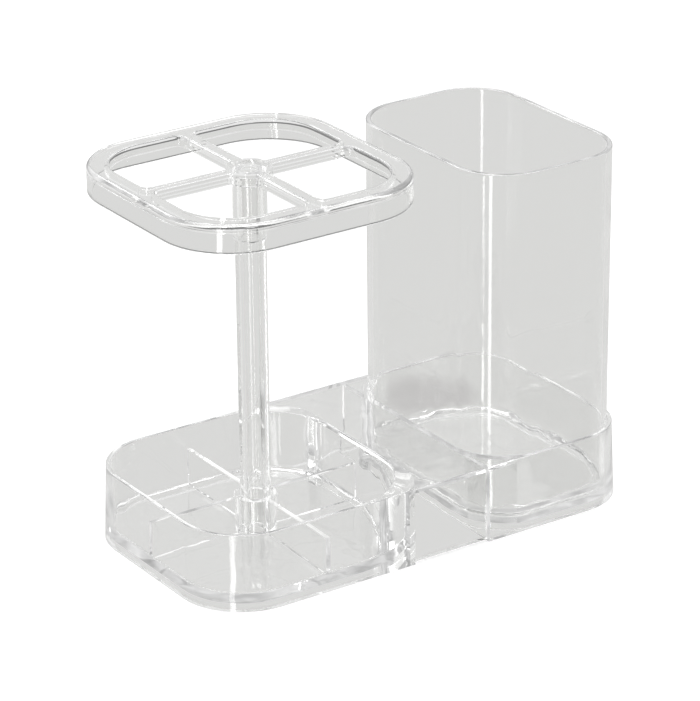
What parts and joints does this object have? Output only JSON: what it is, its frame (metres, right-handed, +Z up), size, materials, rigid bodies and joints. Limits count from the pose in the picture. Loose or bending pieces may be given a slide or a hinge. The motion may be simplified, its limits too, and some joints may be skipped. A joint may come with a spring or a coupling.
{
  "type": "brush holder and rinse cup set",
  "caption": "Clear plastic countertop organiser: divided tray with a post carrying a ring of brush holes, a raised ledge, and a rounded cup that lifts out of its pocket.",
  "frame": {"origin": "middle of the whole object's footprint, on the surface it stands on", "axes": "+X from the tray to the cup, -Y is the front, +Z up"},
  "size_m": [0.196, 0.1036, 0.1525],
  "materials": {
    "clear_plastic": "clear colourless moulded plastic, polished"
  },
  "bodies": {
    "stand": {"base_tray": "clear_plastic", "stand_post": "clear_plastic", "brush_ring": "clear_plastic"},
    "cup": {"rinse_cup": "clear_plastic"}
  },
  "joints": [
    {"name": "cup_lift", "type": "slide", "parent": "stand", "child": "cup", "axis": [0, 0, 1], "range_m": [0, 0.06]}
  ]
}
